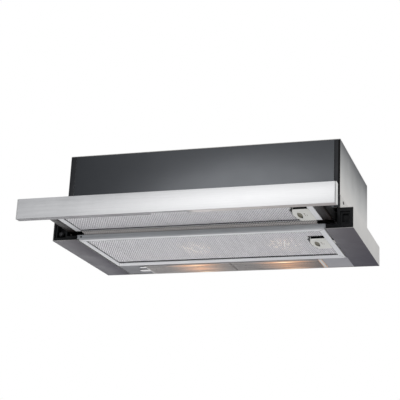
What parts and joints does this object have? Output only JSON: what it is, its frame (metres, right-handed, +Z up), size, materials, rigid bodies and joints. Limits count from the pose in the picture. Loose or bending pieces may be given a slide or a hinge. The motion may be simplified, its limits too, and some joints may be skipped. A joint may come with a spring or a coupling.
{
  "type": "under cabinet range hood",
  "caption": "Telescopic range hood with a pull-out visor, drop-down aluminium grease filters, a ribbed lamp strip and a blower in a box behind it.",
  "frame": {"origin": "middle of the rear face, level with the ledges that rest against the cabinet's underside", "axes": "+X to the right seen from the front, +Y towards the wall, +Z up; the visor pulls out towards -Y"},
  "size_m": [0.598, 0.442, 0.208],
  "materials": {
    "grey_steel": "satin silver-grey paint",
    "dark_steel": "satin dark grey paint",
    "bar_grey": "gloss blue-grey paint",
    "lamp_panel_grey": "satin grey paint",
    "stainless": "horizontal fine brush",
    "galvanised": "dull zinc-coated sheet",
    "steel_shaft": "ground",
    "filter_frame": "satin mill finish",
    "filter_mesh": "expanded mesh",
    "reflector": "bright",
    "black_plastic": "fine grain",
    "visor_side_black": "satin",
    "grey_plastic": "fine grain",
    "ivory_plastic": "satin moulded",
    "white_plastic": "satin moulded",
    "lamp_lens": "ribbed translucent",
    "bulb_glass": "frosted"
  },
  "bodies": {
    "housing": {"side_channel_right": "grey_steel", "side_channel_left": "grey_steel", "box_side_right": "grey_steel", "box_side_left": "grey_steel", "top_panel": "grey_steel", "back_panel": "grey_steel", "fixed_rail_right": "dark_steel", "fixed_rail_left": "dark_steel", "front_panel": "dark_steel", "front_bar": "bar_grey", "lamp_panel": "lamp_panel_grey", "scroll_shell": "galvanised", "scroll_side_right": "galvanised", "scroll_side_left": "galvanised", "motor_bracket": "galvanised", "pod_screw": "galvanised", "collar_screw_1": "galvanised", "collar_screw_2": "galvanised", "collar_screw_3": "galvanised", "collar_screw_4": "galvanised", "lamp_reflector": "reflector", "pod_left": "black_plastic", "pod_right": "black_plastic", "outlet_collar": "black_plastic", "cable_gland": "black_plastic", "button_switch": "grey_plastic", "visor_switch": "grey_plastic", "control_box": "grey_plastic", "control_box_cover": "grey_plastic", "motor_housing": "grey_plastic", "lamp_end_clip": "white_plastic", "lamp_holder_left": "white_plastic", "lamp_holder_right": "white_plastic", "motor_capacitor": "white_plastic", "lamp_bulb_left": "bulb_glass", "lamp_bulb_right": "bulb_glass"},
    "visor": {"visor_panel": "stainless", "visor_end_cap_right": "white_plastic", "visor_end_cap_left": "white_plastic", "visor_side_right": "visor_side_black", "visor_side_left": "visor_side_black", "visor_rail_right": "dark_steel", "visor_rail_left": "dark_steel", "visor_top_plate": "galvanised", "visor_rear_bar": "galvanised", "visor_bypass_screen": "filter_mesh"},
    "visor_filter": {"visor_filter_frame": "filter_frame", "visor_filter_mesh": "filter_mesh"},
    "visor_latch": {"visor_filter_latch": "ivory_plastic"},
    "fixed_filter": {"fixed_filter_frame": "filter_frame", "fixed_filter_mesh": "filter_mesh"},
    "fixed_latch": {"fixed_filter_latch": "ivory_plastic"},
    "impeller": {"impeller": "galvanised", "motor_shaft": "steel_shaft"},
    "flap_front": {"damper_flap_front": "grey_plastic"},
    "flap_rear": {"damper_flap_rear": "grey_plastic"},
    "button": {"push_button": "black_plastic"},
    "switch_plunger": {"visor_switch_plunger": "white_plastic"},
    "lens_left": {"lamp_lens_left": "lamp_lens"},
    "lens_right": {"lamp_lens_right": "lamp_lens"}
  },
  "joints": [
    {"name": "visor_slide", "type": "slide", "parent": "housing", "child": "visor", "axis": [0, -1, 0], "range_m": [-0.143, 0]},
    {"name": "visor_filter_hinge", "type": "hinge", "parent": "visor", "child": "visor_filter", "pos_m": [-0.244, -0.362, -0.0264], "axis": [0, 1, 0], "range_deg": [0, 40]},
    {"name": "visor_latch_slide", "type": "slide", "parent": "visor_filter", "child": "visor_latch", "axis": [0, -1, 0], "range_m": [0, 0.0075], "stiffness_N_per_m": 300},
    {"name": "fixed_filter_hinge", "type": "hinge", "parent": "housing", "child": "fixed_filter", "pos_m": [-0.244, -0.179, -0.04], "axis": [0, 1, 0], "range_deg": [0, 40]},
    {"name": "fixed_latch_slide", "type": "slide", "parent": "fixed_filter", "child": "fixed_latch", "axis": [0, -1, 0], "range_m": [0, 0.0075], "stiffness_N_per_m": 300},
    {"name": "impeller_spin", "type": "hinge", "parent": "housing", "child": "impeller", "pos_m": [0, -0.138, 0.062], "axis": [1, 0, 0], "continuous": true},
    {"name": "flap_front_hinge", "type": "hinge", "parent": "housing", "child": "flap_front", "pos_m": [0, -0.1272, 0.1402], "axis": [-1, 0, 0], "range_deg": [0, 80]},
    {"name": "flap_rear_hinge", "type": "hinge", "parent": "housing", "child": "flap_rear", "pos_m": [0, -0.1228, 0.1402], "axis": [1, 0, 0], "range_deg": [0, 80]},
    {"name": "button_press", "type": "slide", "parent": "housing", "child": "button", "axis": [0, 1, 0], "range_m": [0, 0.003], "stiffness_N_per_m": 400},
    {"name": "switch_plunger_press", "type": "slide", "parent": "housing", "child": "switch_plunger", "axis": [0, 1, 0], "range_m": [0, 0.0018], "stiffness_N_per_m": 200},
    {"name": "lens_left_hinge", "type": "hinge", "parent": "housing", "child": "lens_left", "pos_m": [-0.0005, -0.036, -0.04], "axis": [0, -1, 0], "range_deg": [0, 50]},
    {"name": "lens_right_hinge", "type": "hinge", "parent": "housing", "child": "lens_right", "pos_m": [0.0005, -0.036, -0.04], "axis": [0, 1, 0], "range_deg": [0, 50]}
  ]
}
